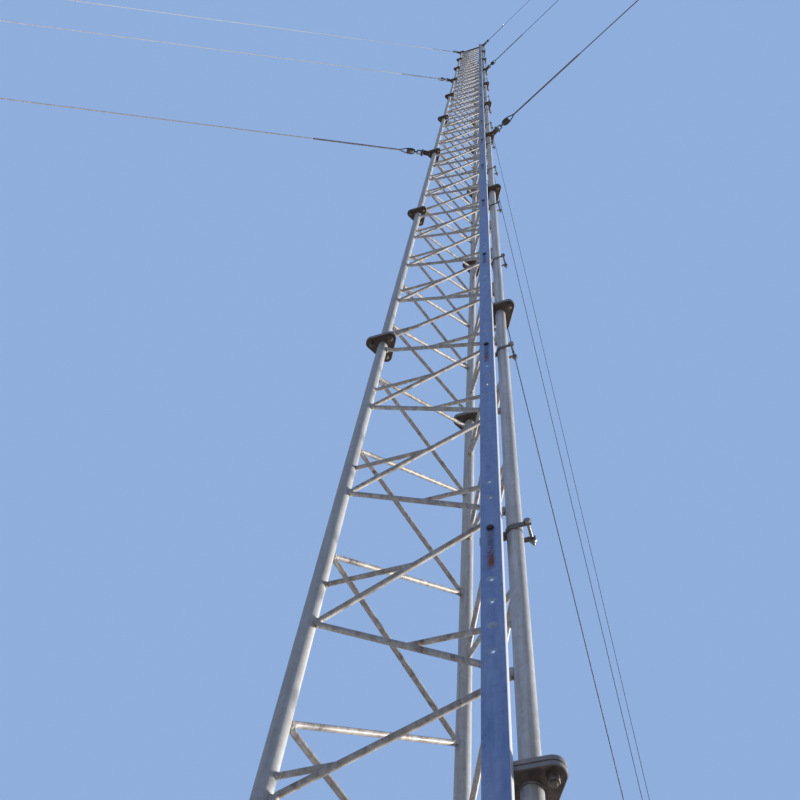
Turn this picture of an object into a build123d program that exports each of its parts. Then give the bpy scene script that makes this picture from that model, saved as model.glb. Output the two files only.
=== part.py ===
from build123d import *

# Guyed lattice radio mast: ten bolted sections of steel tube and bent rod, and nine guys.
# Units are millimetres. +Z is up and the origin is on the ground, under the mast's axis.
# The front side faces -Y, with the left leg at -X and the right leg at +X.

import os
from math import atan2, ceil, pi, radians, cos, sin, sqrt, tan

# Mast sections
section_count = 10
section_length = 3000
face_width = 600  # between the axes of two legs
leg_diameter = 48.3
leg_sides = 12

# Flanges, a triangle rounded about its three bolts, at each end of each leg tube
flange_thickness = 15
flange_bolt_radius = 57  # from the leg's axis to a bolt
flange_corner = 29  # from a bolt to the edge round it
corner_sides = 9  # of the polygon that rounds a corner

# Bracing, bent from one rod on each side, and half rungs on the front side
bays_per_section = 4
brace_diameter = 18
bend_radius = 18  # of the rod's centre line where it turns back at a leg
brace_end_gap = 60  # from a flange to the rod's end
brace_drop = 30  # of the bends, below even steps from the section's foot
rung_diameter = 16
weld_gap = 0.3

# Base plate
base_thickness = 20
anchor_bolt_clearance = 29  # from a flange's tip to an anchor bolt
anchor_bolt_edge = 36  # from an anchor bolt to the plate's edge
anchor_bolt_hole = 22

# Climbing rail, a lipped channel with its web to the front
rail_width = 60
rail_depth = 25
rail_wall = 3
rail_lip = 10
rail_side_offset = 50  # from the right leg's axis towards the left leg
rail_clearance = 7  # between the flanges' front edge and the rail
rail_length = 3000
rail_joint = 4
rail_foot = 200  # from the base plate
rail_top_margin = 100

# Rail clamps, two to a section, round the right leg
clamp_levels = (950, 2450)  # above a section's foot
clamp_sides = 6
clamp_height = 22
clamp_wall = 4
clamp_ear = 26  # beyond the tube
clamp_arm = 6
clamp_arm_height = 40
clamp_arm_end = 25  # beyond the rail's far side
tongue_drop = 100  # from the middle of the arm

# Guy lugs, bolted under the outward corner of the head flanges
guy_levels = 3
guy_level_step = 3  # sections from one level down to the next
lug_thickness = 12
lug_foot_width = 50
lug_foot_inset = 20  # of the foot, inside the bolt
lug_foot_reach = 65  # of the foot, outside the bolt
lug_web_start = 20  # of the web, outside the bolt
lug_pin_reach = 75  # from the bolt outwards
lug_pin_drop = 28  # from the foot down
lug_end = 22  # from the pin to the edge round it

# Shackles
pin_diameter = 12
pin_sides = 8
seat_gap = 0.3
shackle_rod = 14
shackle_play = 10  # between the legs and the lug
shackle_length = 60  # from the pin to the bow
shackle_eye = 13  # from the pin to the legs' ends

# Guys, wire rope with an eye and a wrapped grip at each end
eye_sides = 6
eye_clearance = 0.5  # between the bow and the ends of the flat side that it bears on
eye_wall = 8
eye_thickness = 12
guy_diameter = 10
grip_diameter = 18
grip_length = 1200

# Turnbuckles
turnbuckle_length = 460  # between its pins
body_length = 220
body_width = 44
body_end = 24
body_bar = 10
body_thickness = 20
end_rod_diameter = 16
end_rod_inside = 40  # seen inside the body
fork_cheek = 8
fork_width = 28
fork_eye = 14  # from the pin to the cheeks' ends
fork_base = 12
fork_clearance = 10

# Ground anchors, a plate with three pin holes on a rod that slopes out of the ground
anchor_radius = 18000
anchor_height = 320
anchor_pitch = 75
anchor_plate = 16
anchor_edge = 22
anchor_tail = 130
anchor_rod = 32
anchor_rod_sides = 8

# Top ring, of flat bar
ring_width = 50
ring_thickness = 10

# Sizes that follow from the ones above
up = Vector(0, 0, 1)
leg_angles = {"left": 210, "right": -30, "back": 90}
sides = (("left", "right"), ("right", "back"), ("back", "left"))
leg_radius = leg_diameter / 2
leg_circle = face_width / sqrt(3)
mast_foot = base_thickness
mast_top = mast_foot + section_count * section_length
front_plane = -leg_circle / 2  # the level line through the axes of the two front legs
flange_front = flange_bolt_radius / 2 + flange_corner
bay = section_length / bays_per_section
square_share = sqrt(pi) / 2  # side of a square over the diameter of a circle of its area
brace_flat = brace_diameter * square_share
rung_flat = rung_diameter * square_share
rod_seat = leg_radius + weld_gap + brace_flat / 2
run_angle = atan2(bay / 2, face_width - 2 * rod_seat)
half_bend = bend_radius * tan((pi / 2 - run_angle) / 2)
pin_hole = pin_diameter + 2 * seat_gap
eye_radius = (shackle_rod / 2 + eye_clearance) / tan(pi / eye_sides)  # to the inner flat sides
eye_seat = eye_radius - pin_hole / 2  # from an eye's centre to the pin that it bears on
guys = [(leg, level) for leg in leg_angles for level in range(guy_levels)]

os.makedirs("parts", exist_ok=True)


def round_outline(radius, sides, mode=Mode.ADD):
    """Polygon whose flat sides touch the circle, with one of them facing X."""
    return RegularPolygon(radius, sides, major_radius=False, rotation=180 / sides, mode=mode)


def finish(piece, name):
    """Label a finished piece and write its STEP file."""
    piece.label = name
    export_step(piece, f"parts/{name}.step")


def outward(leg):
    """Level direction from the mast's axis to a leg."""
    return Vector(cos(radians(leg_angles[leg])), sin(radians(leg_angles[leg])), 0)


def section_foot(number):
    """Height of a section's foot, the lowest section being number 0."""
    return mast_foot + number * section_length


def leg_plane(leg, height):
    """Level plane on a leg's axis, with X pointing away from the mast."""
    return Plane(origin=outward(leg) * leg_circle + up * height, x_dir=outward(leg), z_dir=up)


def side_plane(start, end):
    """Upright plane of one side: X from the first leg's axis to the second's, Y up."""
    across = (outward(end) - outward(start)).normalized()
    return Plane(origin=outward(start) * leg_circle, x_dir=across, z_dir=across.cross(up))


def zigzag_points():
    """Centre line of one side's rod over a section, turning back at the legs in turn.

    At each leg a short upright run stands for the bend and lies along the tube. The first
    and last of them end just clear of the flanges.
    """
    turns = 2 * bays_per_section
    end = flange_thickness + brace_end_gap + half_bend
    points = []
    for turn in range(turns + 1):
        across = rod_seat if turn % 2 == 0 else face_width - rod_seat
        height = min(max(turn * bay / 2 - brace_drop, end), section_length - end)
        points += [(across, height - half_bend), (across, height + half_bend)]
    return points


def rungs():
    """Level, leg end and rod end of each half rung, measured across the front side."""
    points = zigzag_points()
    found = []
    for run in range(2 * bays_per_section):
        low, high = points[2 * run + 1], points[2 * run + 2]
        level = (run + 0.5) * bay / 2 - brace_drop
        rod_end = low[0] + (high[0] - low[0]) * (level - low[1]) / (high[1] - low[1])
        leg_end = leg_radius + weld_gap
        if run % 2 == 1:
            leg_end = face_width - leg_end
        found.append((level, leg_end, rod_end))
    return found


def lug_height(level):
    """Underside of the head flanges that carry one level of guys, the lowest being 0."""
    number = section_count - guy_level_step * (guy_levels - 1 - level)
    return section_foot(number) - flange_thickness


def upper_pin(leg, level):
    """Pin between a guy lug and its shackle."""
    reach = leg_circle + flange_bolt_radius + lug_pin_reach
    return outward(leg) * reach + up * (lug_height(level) - lug_thickness - lug_pin_drop)


def anchor_plane(leg):
    """Plane of a ground anchor's plate: X up along the middle guy, Z level."""
    middle = outward(leg) * anchor_radius + up * anchor_height
    along = upper_pin(leg, (guy_levels - 1) // 2) - middle
    return Plane(origin=middle, x_dir=along.normalized(), z_dir=outward(leg).cross(up))


def lower_pin(leg, level):
    """Pin between a turnbuckle and the ground anchor, steeper guys being further out."""
    place = (level - (guy_levels - 1) / 2) * anchor_pitch
    return anchor_plane(leg).from_local_coords(Vector(0, -place, 0))


def guy_length(leg, level):
    """Distance between the pins at the two ends of a guy with its shackle and turnbuckle."""
    return (lower_pin(leg, level) - upper_pin(leg, level)).length


def guy_plane(leg, level):
    """Plane at the upper pin: X down along the guy, Z along the pin."""
    down = (lower_pin(leg, level) - upper_pin(leg, level)).normalized()
    return Plane(origin=upper_pin(leg, level), x_dir=down, z_dir=outward(leg).cross(up))


def pin_plane(plane, along, reverse=False):
    """Plane at a distance along a guy: X along it, either way, and Y along its pins."""
    direction = plane.x_dir * (-1 if reverse else 1)
    return Plane(origin=plane.origin + plane.x_dir * along, x_dir=direction, z_dir=plane.y_dir)


def across_plane(plane, along):
    """Plane square to a guy, at a distance along it, with Z pointing down the guy."""
    origin = plane.origin + plane.x_dir * along
    return Plane(origin=origin, x_dir=plane.z_dir, z_dir=plane.x_dir)


# Base plate: a triangle rounded about the legs, with one anchor bolt outside each leg
anchor_bolt_reach = flange_bolt_radius + flange_corner + anchor_bolt_clearance
base_corner = anchor_bolt_reach + anchor_bolt_edge
with BuildPart() as base_plate:
    with BuildSketch():
        with PolarLocations(leg_circle, 3, start_angle=90):
            RegularPolygon(base_corner, corner_sides, major_radius=False)
        make_hull()
        with PolarLocations(leg_circle + anchor_bolt_reach, 3, start_angle=90):
            Circle(anchor_bolt_hole / 2, mode=Mode.SUBTRACT)
    extrude(amount=base_thickness)
finish(base_plate.part, "base_plate")

# Leg tubes: closed by the flanges at both ends, and solid here. Their flat sides face the rods.
for leg in leg_angles:
    tube_planes = [
        leg_plane(leg, section_foot(number) + flange_thickness) for number in range(section_count)
    ]
    with BuildPart() as leg_tubes:
        with BuildSketch(*tube_planes):
            round_outline(leg_radius, leg_sides)
        extrude(amount=section_length - 2 * flange_thickness)
    finish(leg_tubes.part, f"{leg}_leg_tubes")

# Flanges: each section's head plates carry the next one's foot plates
flange_feet = {"foot_flanges": 0, "head_flanges": section_length - flange_thickness}
for name, rise in flange_feet.items():
    plate_planes = [
        leg_plane(leg, section_foot(number) + rise)
        for leg in leg_angles
        for number in range(section_count)
    ]
    with BuildPart() as flanges:
        with BuildSketch(*plate_planes):
            with PolarLocations(flange_bolt_radius, 3):
                RegularPolygon(flange_corner, corner_sides, major_radius=False)
            make_hull()
        extrude(amount=flange_thickness)
    finish(flanges.part, name)

# Bracing of one section: a rod in zigzag on each side, and half rungs on the front side
with BuildPart() as bracing:
    for start, end in sides:
        side = side_plane(start, end)
        with BuildLine(side) as rod:
            Polyline(*zigzag_points())
        with BuildSketch(Plane(origin=rod.line @ 0, x_dir=side.x_dir, z_dir=up)):
            Rectangle(brace_flat, brace_flat)
        sweep(transition=Transition.RIGHT)
    front = side_plane("left", "right")
    for level, leg_end, rod_end in rungs():
        foot = front.from_local_coords(Vector(leg_end, level, 0))
        with BuildSketch(Plane(origin=foot, x_dir=front.z_dir, z_dir=front.x_dir)):
            Rectangle(rung_flat, rung_flat)
        extrude(amount=rod_end - leg_end)

for number in range(section_count):
    with BuildPart() as section_bracing:
        with Locations((0, 0, section_foot(number))):
            add(bracing.part)
    finish(section_bracing.part, f"section_{number + 1:02d}_bracing")

# Climbing rail: lengths of lipped channel, one above the other
rail_bottom = mast_foot + rail_foot
rail_top = mast_top - rail_top_margin
rail_middle = front_plane - flange_front - rail_clearance - rail_depth / 2
with BuildPart() as climbing_rail:
    for length in range(ceil((rail_top - rail_bottom) / (rail_length + rail_joint))):
        height = rail_bottom + length * (rail_length + rail_joint)
        with BuildSketch(Plane((face_width / 2 - rail_side_offset, rail_middle, height))):
            Rectangle(rail_width, rail_depth)
            Rectangle(rail_width - 2 * rail_wall, rail_depth - 2 * rail_wall, mode=Mode.SUBTRACT)
            with Locations((0, rail_depth / 2)):
                Rectangle(rail_width - 2 * rail_lip, 2 * rail_wall, mode=Mode.SUBTRACT)
        extrude(amount=min(rail_length, rail_top - height))
finish(climbing_rail.part, "climbing_rail")

# Rail clamps: a band in a U round the right leg, with an arm that runs on behind the rail.
# A tongue under the arm enters the rail and meets its web.
clamp_planes = [
    Plane((face_width / 2, front_plane, section_foot(number) + level))
    for number in range(section_count)
    for level in clamp_levels
]
band_inside = leg_radius + seat_gap
band_outside = band_inside + clamp_wall
band_end = band_outside + clamp_ear
arm_start = rail_side_offset + rail_width / 2 + clamp_arm_end
tongue_length = flange_front + rail_clearance + rail_depth - rail_wall - seat_gap
with BuildPart() as rail_clamps:
    with BuildSketch(*clamp_planes):
        RegularPolygon(band_outside, clamp_sides, major_radius=False)
        Rectangle(band_end, 2 * band_outside, align=(Align.MIN, Align.CENTER))
        RegularPolygon(band_inside, clamp_sides, major_radius=False, mode=Mode.SUBTRACT)
        Rectangle(
            band_end, 2 * band_inside, align=(Align.MIN, Align.CENTER), mode=Mode.SUBTRACT
        )
    extrude(amount=clamp_height / 2, both=True)
    with BuildSketch(*clamp_planes):
        with Locations((-arm_start, 0)):
            Rectangle(arm_start - band_outside, clamp_arm, align=(Align.MIN, Align.CENTER))
    extrude(amount=clamp_arm_height / 2, both=True)
    with BuildSketch(*clamp_planes):
        with Locations((-rail_side_offset, 0)):
            Rectangle(clamp_arm, tongue_length, align=(Align.CENTER, Align.MAX))
    extrude(amount=-tongue_drop)
finish(rail_clamps.part, "rail_clamps")

# Top ring: flat bar laid over the head flanges of the three legs
with BuildPart() as top_ring:
    with BuildSketch(Plane.XY.offset(mast_top)):
        with PolarLocations(leg_circle, 3, start_angle=90):
            RegularPolygon(ring_width / 2, corner_sides, major_radius=False)
        make_hull()
        RegularPolygon(leg_circle - ring_width, 3, rotation=90, mode=Mode.SUBTRACT)
    extrude(amount=ring_thickness)
finish(top_ring.part, "top_ring")

# Guy lugs: a foot under the flange and an upright web with the pin's hole
with BuildPart() as guy_lugs:
    for leg, level in guys:
        bolt = outward(leg) * (leg_circle + flange_bolt_radius) + up * lug_height(level)
        with BuildSketch(Plane(origin=bolt, x_dir=outward(leg), z_dir=up)):
            with Locations((-lug_foot_inset, 0)):
                Rectangle(
                    lug_foot_inset + lug_foot_reach,
                    lug_foot_width,
                    align=(Align.MIN, Align.CENTER),
                )
        extrude(amount=-lug_thickness)
        with BuildSketch(Plane(origin=bolt, x_dir=outward(leg), z_dir=outward(leg).cross(up))):
            with BuildLine():
                Line((lug_web_start, -lug_thickness), (lug_foot_reach, -lug_thickness))
            with Locations((lug_pin_reach, -lug_thickness - lug_pin_drop)):
                round_outline(lug_end, pin_sides)
                make_hull()
                round_outline(pin_hole / 2, pin_sides, mode=Mode.SUBTRACT)
        extrude(amount=lug_thickness / 2, both=True)
finish(guy_lugs.part, "guy_lugs")

# Shackles: two legs and a bow round the lug, and the pin through it
shackle_inside = lug_thickness + shackle_play
with BuildPart() as shackles:
    for leg, level in guys:
        side = guy_plane(leg, level)
        with BuildSketch(pin_plane(side, 0)) as outline:
            with Locations((-shackle_eye, 0)):
                Rectangle(
                    shackle_eye + shackle_length + shackle_rod,
                    shackle_inside + 2 * shackle_rod,
                    align=(Align.MIN, Align.CENTER),
                )
            chamfer(outline.vertices().group_by(Axis.X)[-1], shackle_rod / 2)
            with Locations((-shackle_eye, 0)):
                Rectangle(
                    shackle_eye + shackle_length,
                    shackle_inside,
                    align=(Align.MIN, Align.CENTER),
                    mode=Mode.SUBTRACT,
                )
        extrude(amount=shackle_rod / 2, both=True)
        with BuildSketch(side):
            RegularPolygon(pin_diameter / 2, pin_sides)
        extrude(amount=shackle_inside / 2 + shackle_rod, both=True)
finish(shackles.part, "shackles")

# Guys: the upper eye hangs from the shackle's bow and the lower one from the turnbuckle's pin
level_names = ("low", "middle", "top")
upper_eye = shackle_length - seat_gap + eye_radius
eye_root = eye_radius + eye_wall / 2  # from an eye's centre to the wire's end in its wall
for leg, level in guys:
    side = guy_plane(leg, level)
    lower_eye = guy_length(leg, level) - turnbuckle_length - eye_seat
    wire_start = upper_eye + eye_root
    wire_end = lower_eye - eye_root
    with BuildPart() as guy:
        with BuildSketch(side):
            with Locations((upper_eye, 0), (lower_eye, 0)):
                round_outline(eye_radius + eye_wall, eye_sides)
                round_outline(eye_radius, eye_sides, mode=Mode.SUBTRACT)
        extrude(amount=eye_thickness / 2, both=True)
        stretches = (
            (wire_start, wire_start + grip_length, grip_diameter),
            (wire_start + grip_length, wire_end - grip_length, guy_diameter),
            (wire_end - grip_length, wire_end, grip_diameter),
        )
        for start, end, diameter in stretches:
            with BuildSketch(across_plane(side, start)):
                Rectangle(diameter * square_share, diameter * square_share)
            extrude(amount=end - start)
    finish(guy.part, f"{level_names[level]}_guy_{leg}")

# Turnbuckles: an open body, two end rods, and a fork with its pin at each end
with BuildPart() as turnbuckles:
    for leg, level in guys:
        side = guy_plane(leg, level)
        upper_end = guy_length(leg, level) - turnbuckle_length
        middle = upper_end + turnbuckle_length / 2
        with BuildSketch(side):
            with Locations((middle, 0)):
                Rectangle(body_length, body_width)
                Rectangle(
                    body_length - 2 * body_end, body_width - 2 * body_bar, mode=Mode.SUBTRACT
                )
        extrude(amount=body_thickness / 2, both=True)
        forks = (
            (pin_plane(side, upper_end), eye_thickness, eye_wall + eye_seat),
            (pin_plane(side, upper_end + turnbuckle_length, reverse=True), anchor_plate, anchor_edge),
        )
        for plane, held_thickness, held_edge in forks:
            inside = held_thickness + 2 * seat_gap
            depth = held_edge + fork_clearance
            with BuildSketch(plane):
                with Locations((-fork_eye, 0)):
                    Rectangle(
                        fork_eye + depth + fork_base,
                        inside + 2 * fork_cheek,
                        align=(Align.MIN, Align.CENTER),
                    )
                    Rectangle(
                        fork_eye + depth,
                        inside,
                        align=(Align.MIN, Align.CENTER),
                        mode=Mode.SUBTRACT,
                    )
            extrude(amount=fork_width / 2, both=True)
            with BuildSketch(pin_plane(plane, 0)):
                RegularPolygon(pin_diameter / 2, pin_sides)
            extrude(amount=inside / 2 + fork_cheek, both=True)
            rod_reach = (turnbuckle_length - body_length) / 2 + body_end + end_rod_inside
            with BuildSketch(across_plane(plane, depth)):
                Rectangle(end_rod_diameter * square_share, end_rod_diameter * square_share)
            extrude(amount=rod_reach - depth)
finish(turnbuckles.part, "turnbuckles")

# Ground anchors: the plate's holes lie across the middle guy, and the rod ends at the ground
hole_places = [(0, (level - (guy_levels - 1) / 2) * anchor_pitch) for level in range(guy_levels)]
with BuildPart() as ground_anchors:
    for leg in leg_angles:
        plate = anchor_plane(leg)
        with BuildSketch(plate):
            with Locations(hole_places[0], hole_places[-1], (-anchor_tail, 0)):
                round_outline(anchor_edge, pin_sides)
            make_hull()
            with Locations(*hole_places):
                round_outline(pin_hole / 2, pin_sides, mode=Mode.SUBTRACT)
        extrude(amount=anchor_plate / 2, both=True)
        rod_top = across_plane(plate, -anchor_tail)
        with BuildSketch(rod_top):
            RegularPolygon(anchor_rod / 2, anchor_rod_sides)
        extrude(amount=-(rod_top.origin.Z + anchor_rod) / plate.x_dir.Z)
    split(bisect_by=Plane.XY, keep=Keep.TOP)
finish(ground_anchors.part, "ground_anchors")
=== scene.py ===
import math

import bpy
import numpy as np
from mathutils import Matrix, Vector


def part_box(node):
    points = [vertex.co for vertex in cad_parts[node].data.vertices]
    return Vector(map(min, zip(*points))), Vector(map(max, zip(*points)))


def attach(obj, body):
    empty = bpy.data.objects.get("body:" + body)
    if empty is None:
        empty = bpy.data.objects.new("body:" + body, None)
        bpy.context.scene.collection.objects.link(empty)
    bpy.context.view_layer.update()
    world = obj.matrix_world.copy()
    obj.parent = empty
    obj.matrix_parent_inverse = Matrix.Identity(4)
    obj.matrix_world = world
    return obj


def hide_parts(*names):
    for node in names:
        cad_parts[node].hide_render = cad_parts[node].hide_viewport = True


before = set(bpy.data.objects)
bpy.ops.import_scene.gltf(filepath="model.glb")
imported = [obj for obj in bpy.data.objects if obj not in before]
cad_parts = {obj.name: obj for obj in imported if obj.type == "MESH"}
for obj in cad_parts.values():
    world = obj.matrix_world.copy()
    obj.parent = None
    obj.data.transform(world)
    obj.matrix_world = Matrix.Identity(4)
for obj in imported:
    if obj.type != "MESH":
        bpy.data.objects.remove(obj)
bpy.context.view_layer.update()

# Base plate: one thick plate of hot-dip galvanised steel under the three legs. An anchor bolt
# with a washer and a nut stands outside each leg. The plate is the CAD node with its zinc.


def linear(code):
    """Linear RGBA of an sRGB hex colour."""
    share = np.array([int(code[at:at + 2], 16) / 255 for at in (1, 3, 5)])
    share = np.where(share <= 0.04045, share / 12.92, ((share + 0.055) / 1.055) ** 2.4)
    return (*share, 1.0)


def node(owner, kind, settings=()):
    """Add a node to a material or a world. A setting's name is an input or an attribute of the
    node, and a socket is linked to the input.
    """
    made = owner.node_tree.nodes.new(kind)
    for key, value in dict(settings).items():
        if isinstance(value, bpy.types.NodeSocket):
            owner.node_tree.links.new(value, made.inputs[key])
        elif isinstance(key, int) or key in made.inputs:
            made.inputs[key].default_value = value
        else:
            setattr(made, key, value)
    return made


def maths(owner, operation, first, second=0.0):
    """The outcome of an operation on numbers or sockets."""
    return node(owner, "ShaderNodeMath", {"operation": operation, 0: first, 1: second}).outputs[0]


def mapped(owner, value, low, high, start=0.0, end=1.0):
    """Start up to where the value is low, end from where it is high, in proportion between."""
    limits = {"From Min": low, "From Max": high, "To Min": start, "To Max": end}
    return node(owner, "ShaderNodeMapRange", {"Value": value, **limits}).outputs[0]


def blend(owner, share, first, second):
    """The first colour where share is 0 and the second where it is 1: hex codes or sockets."""
    first, second = (linear(one) if isinstance(one, str) else one for one in (first, second))
    ends = {0: share, 6: first, 7: second}
    return node(owner, "ShaderNodeMix", {"data_type": "RGBA", **ends}).outputs[2]


def noise(owner, place, width, detail, roughness=0.5):
    """Noise from 0 to 1 whose spots are this wide."""
    grain = {"Scale": 1 / width, "Detail": detail, "Roughness": roughness}
    return node(owner, "ShaderNodeTexNoise", {"Vector": place, **grain}).outputs["Fac"]


def zinc(name, light, dark, stain, stain_from, metal=0.2, rough=(0.42, 0.6), run=0.06):
    """Hot-dip galvanised steel, dulled by weather: zinc crystals 14 mm wide, runs of duller zinc
    20 mm wide that stretch down by 1 / run, stains 35 mm wide where their noise is above
    stain_from, and a grain that is drawn as coarse as 4 mm to show. The eye gets a soft pale
    grey with little sheen.
    """
    crystal_width, run_width, stain_width, grain_width = 0.014, 0.020, 0.035, 0.004
    stain_run, stain_edge, stain_most = 0.4, 0.12, 0.85
    run_share, dark_noise, light_noise = 0.86, 0.3, 0.7
    material = bpy.data.materials.new(name)
    material.use_nodes = True
    place = node(material, "ShaderNodeTexCoord").outputs["Object"]
    run_place, stain_place = (
        node(material, "ShaderNodeMapping", {"Vector": place, "Scale": (1, 1, scale)}).outputs[0]
        for scale in (run, stain_run)
    )
    crystals = node(
        material, "ShaderNodeTexVoronoi", {"Vector": place, "Scale": 1 / crystal_width}
    )
    crystal = node(material, "ShaderNodeRGBToBW", {"Color": crystals.outputs["Color"]}).outputs[0]
    runs = noise(material, run_place, run_width, 5, 0.6)
    shade = node(
        material, "ShaderNodeMix", {"data_type": "FLOAT", 0: run_share, 2: crystal, 3: runs}
    )
    grey = blend(material, mapped(material, shade.outputs[0], dark_noise, light_noise), dark, light)
    stained = mapped(
        material, noise(material, stain_place, stain_width, 7, 0.7),
        stain_from, stain_from + stain_edge, end=stain_most,
    )
    bump = node(
        material,
        "ShaderNodeBump",
        {"Strength": 0.2, "Distance": 0.0005, "Height": noise(material, place, grain_width, 3)},
    )
    shader = material.node_tree.nodes["Principled BSDF"]
    shader.inputs["Metallic"].default_value = metal
    for key, source in (
        ("Base Color", blend(material, stained, grey, stain)),
        ("Roughness", mapped(material, runs, dark_noise, light_noise, *rough)),
        ("Normal", bump.outputs[0]),
    ):
        material.node_tree.links.new(source, shader.inputs[key])
    return material


def skin(rings):
    """Closed skins over rings[copy, ring, point, xyz]: quads between rings, a face at each end."""
    copies, count, points, _ = rings.shape
    index = np.arange(copies * count * points).reshape(copies, count, points)
    low = index[:, :-1]
    high = index[:, 1:]
    quads = np.stack([low, np.roll(low, -1, 2), np.roll(high, -1, 2), high], axis=-1)
    ends = index[:, 0, ::-1].tolist() + index[:, -1].tolist()
    return rings.reshape(-1, 3), quads.reshape(-1, 4).tolist() + ends


def joined(*shapes):
    """One set of corners and faces from several."""
    starts = np.cumsum([0] + [len(corners) for corners, _ in shapes])
    faces = [
        [corner + start for corner in face]
        for start, (_, some) in zip(starts.tolist(), shapes)
        for face in some
    ]
    return np.concatenate([corners for corners, _ in shapes]), faces


def piece(name, shape, material, replaced=()):
    """A new piece that rides on the mast, smooth except where faces meet at over 35 degrees."""
    mesh = bpy.data.meshes.new(name)
    mesh.from_pydata(shape[0].tolist(), [], shape[1])
    mesh.polygons.foreach_set("use_smooth", np.ones(len(mesh.polygons), dtype=bool))
    mesh.set_sharp_from_angle(angle=math.radians(35))
    mesh.materials.append(material)
    made = bpy.data.objects.new(name, mesh)
    bpy.context.collection.objects.link(made)
    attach(made, "root")
    if replaced:
        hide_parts(*replaced)
    return made


def unit(vectors):
    """The vectors at length one."""
    return vectors / np.linalg.norm(vectors, axis=-1, keepdims=True)


def turned(profile, centres, axes, sides=18):
    """Turned shapes: each profile row is a radius, a height along the axis and a share of
    hexagon, 0 round and 1 six-sided with its flats at the radius. A ring's points are centre +
    height * axis + reach * (cos, sin) of the turn. One shape at each centre.
    """
    centres = np.atleast_2d(centres)
    axes = np.broadcast_to(unit(np.asarray(axes, float)), centres.shape)
    helper = np.where(np.abs(axes[:, 2:]) > 0.9, [[1.0, 0, 0]], [[0, 0, 1.0]])
    first = unit(np.cross(helper, axes))
    second = np.cross(axes, first)
    turn = np.arange(sides) * 2 * np.pi / sides
    hexagon = 1 / np.cos((turn % (np.pi / 3)) - np.pi / 6)
    radius, height, share = np.array([(*row, 0)[:3] for row in profile], float).T[:, :, None]
    reach = radius * (1 + share * (hexagon - 1))
    rings = (
        centres[:, None, None]
        + (reach * np.cos(turn))[None, :, :, None] * first[:, None, None]
        + (reach * np.sin(turn))[None, :, :, None] * second[:, None, None]
        + height[None, :, :, None] * axes[:, None, None]
    )
    return skin(rings)


def nut_profile(bolt, flats, height, washer, stud):
    """Profile of a washer, a chamfered nut and the bolt's bevelled end, from the plate up."""
    washer_top = 0.003
    nut_top = washer_top + height
    flat, edge, bevel = flats / 2, flats * 0.06, 0.002
    face = flat * 0.98  # where the chamfer meets the nut's flat ends
    return (
        (washer / 2, 0),
        (washer / 2, washer_top),
        (face, washer_top),
        (flat, washer_top + edge, 1),
        (flat, nut_top - edge, 1),
        (face, nut_top),
        (bolt / 2, nut_top),
        (bolt / 2, nut_top + stud - bevel),
        (bolt / 2 - bevel, nut_top + stud),
    )


# Thick plate takes a heavy, even coat: a flat mid grey with stains of wet earth.
plate_zinc = zinc("galvanised_plate", "#B9B9B4", "#93938F", "#85725E", 0.55, run=0.5)
# Bolts are dipped and spun, and their rough coat holds dirt: a dark brownish grey.
bolt_zinc = zinc("galvanised_bolts", "#8E8375", "#4C4239", "#3E2A1C", 0.5, metal=0.3, run=0.8)
legs = {}
for leg in ("left", "right", "back"):
    low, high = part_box(f"{leg}_leg_tubes")
    legs[leg] = np.array([(low[0] + high[0]) / 2, (low[1] + high[1]) / 2])
leg_axes = np.array(list(legs.values()))
outward = unit(leg_axes)
leg_circle = np.linalg.norm(leg_axes[0])
up = np.array([0, 0, 1.0])
flange_bolt = 0.057  # from the leg's axis
flange_corner = 0.029  # from a bolt to the flange's edge
anchor_bolt_gap = 0.029  # from the flange's edge
anchor_bolts = leg_circle + flange_bolt + flange_corner + anchor_bolt_gap
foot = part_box("base_plate")[1][2]
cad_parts["base_plate"].data.materials.clear()
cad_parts["base_plate"].data.materials.append(plate_zinc)
piece(
    "anchor_bolts",
    turned(
        nut_profile(bolt=0.020, flats=0.030, height=0.018, washer=0.040, stud=0.030),
        np.column_stack([outward * anchor_bolts, np.full(3, foot)]),
        up,
    ),
    bolt_zinc,
)

# Leg tubes: ten steel tubes to a leg, 48.3 mm across, dipped in zinc after they were welded to
# their flanges.


def up_line(x, y, heights):
    """Places at these heights on the upright line through x and y."""
    return np.column_stack([np.full(len(heights), x), np.full(len(heights), y), heights])


sections = 10
flange_thickness = 0.015
tube_radius = 0.0483 / 2
section_length = (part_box("head_flanges")[1][2] - foot) / sections
section_feet = foot + np.arange(sections) * section_length
# Drawn tube takes the brightest coat: nearly white in the sun, with long duller runs.
leg_zinc = zinc("galvanised_tube", "#E9EBED", "#C0BBB3", "#75685C", 0.64, metal=0.1)
tube_profile = (
    (tube_radius, flange_thickness),
    (tube_radius, section_length - flange_thickness),
)
for leg, axis in legs.items():
    piece(
        f"{leg}_leg",
        turned(tube_profile, up_line(*axis, section_feet), up, sides=40),
        leg_zinc,
        replaced=[f"{leg}_leg_tubes"],
    )

# Flanges: a 15 mm steel plate welded to each end of each tube, a triangle rounded about three
# bolts, and dipped with the tube. Two plates meet at each joint, held by bolts with washers
# and nuts.


def rounded(corners, radius, steps=9):
    """Outline round corner centres that turn anticlockwise: an arc about each, from the
    outward direction of the side before it to that of the side after it.
    """
    corners = np.asarray(corners, float)
    side = np.roll(corners, -1, 0) - corners
    after = np.arctan2(side[:, 1], side[:, 0]) - np.pi / 2
    before = np.roll(after, 1)
    turn = (after - before) % (2 * np.pi)
    angle = before[:, None] + turn[:, None] * np.linspace(0, 1, steps)
    arc = np.stack([np.cos(angle), np.sin(angle)], axis=-1) * radius
    return (corners[:, None] + arc).reshape(-1, 2)


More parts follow.
